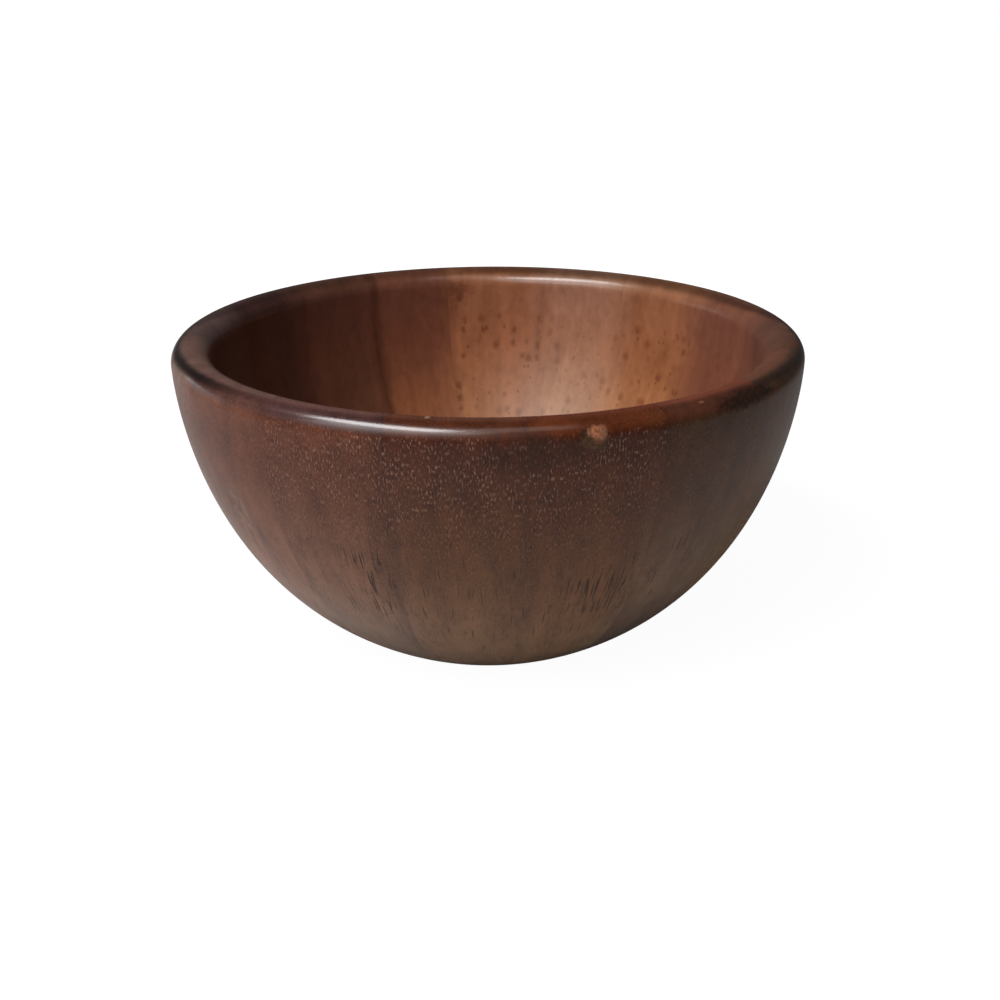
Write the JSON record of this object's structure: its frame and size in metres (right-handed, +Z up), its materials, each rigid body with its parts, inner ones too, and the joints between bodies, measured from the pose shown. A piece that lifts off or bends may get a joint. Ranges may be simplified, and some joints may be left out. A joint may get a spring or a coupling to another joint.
{
  "type": "wooden bowl",
  "caption": "Small round wooden bowl with a thick rounded rim and a flat foot, turned from glued wedge staves around a disc in its floor.",
  "frame": {"origin": "middle of the flat foot, on the surface the bowl stands on", "axes": "+Z up through the mouth along the turning axis; +X to the right and +Y away from the viewer in the usual front view"},
  "size_m": [0.152, 0.152, 0.074],
  "materials": {
    "honey_wood": "satin",
    "amber_wood": "satin",
    "chestnut_wood": "satin",
    "russet_wood": "satin",
    "umber_wood": "satin",
    "walnut_wood": "satin"
  },
  "bodies": {
    "root": {"stave_01": "russet_wood", "stave_02": "honey_wood", "stave_03": "amber_wood", "stave_04": "chestnut_wood", "stave_05": "umber_wood", "stave_06": "walnut_wood", "stave_07": "umber_wood", "stave_08": "russet_wood", "stave_09": "walnut_wood", "stave_10": "umber_wood", "stave_11": "russet_wood", "stave_12": "walnut_wood", "stave_13": "umber_wood", "stave_14": "walnut_wood", "stave_15": "chestnut_wood", "stave_16": "russet_wood", "base_disc": "umber_wood"}
  },
  "joints": []
}
